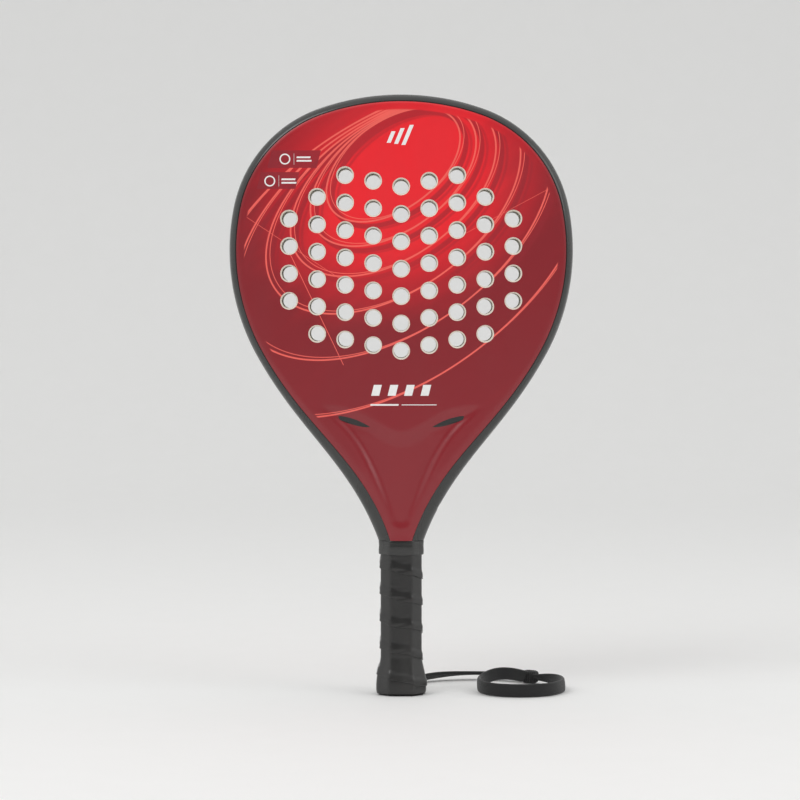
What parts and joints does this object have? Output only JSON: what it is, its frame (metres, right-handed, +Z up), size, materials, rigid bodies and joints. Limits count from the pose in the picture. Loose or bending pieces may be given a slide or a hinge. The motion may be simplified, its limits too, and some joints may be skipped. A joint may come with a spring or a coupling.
{
  "type": "padel racket",
  "caption": "Padel racket with a drilled teardrop head, closed throat, octagonal wrapped grip, flared butt and a wrist strap lying in a loop on the floor.",
  "frame": {"origin": "centre of the butt's base, on the floor the racket stands on", "axes": "+Z up along the handle to the top of the head, +Y through the thickness from the front face to the back face, +X across the head"},
  "size_m": [0.2594, 0.1128, 0.455],
  "materials": {
    "frame": "gloss",
    "face": "satin",
    "foam": "matte",
    "bridge": "satin",
    "bladder": "satin",
    "pallet": "matte",
    "cap": "satin",
    "staple": "satin",
    "underlay": "matte",
    "grip": "satin",
    "finishing_tape": "gloss",
    "strap": "matte",
    "strap_tie": "matte"
  },
  "bodies": {
    "root": {"frame_tube": "frame", "frame_bladder": "bladder", "eva_core": "foam", "throat_bridge": "bridge", "throat_filler": "foam", "front_face": "face", "back_face": "face", "handle_core": "foam", "handle_pallet_front": "pallet", "handle_pallet_back": "pallet", "butt_cap": "cap", "butt_cap_staples": "staple", "grip_underlay": "underlay", "grip_tape": "grip", "finishing_tape": "finishing_tape", "strap_anchor_knot": "strap", "wrist_strap": "strap", "strap_loop": "strap", "strap_tie": "strap_tie"}
  },
  "joints": []
}
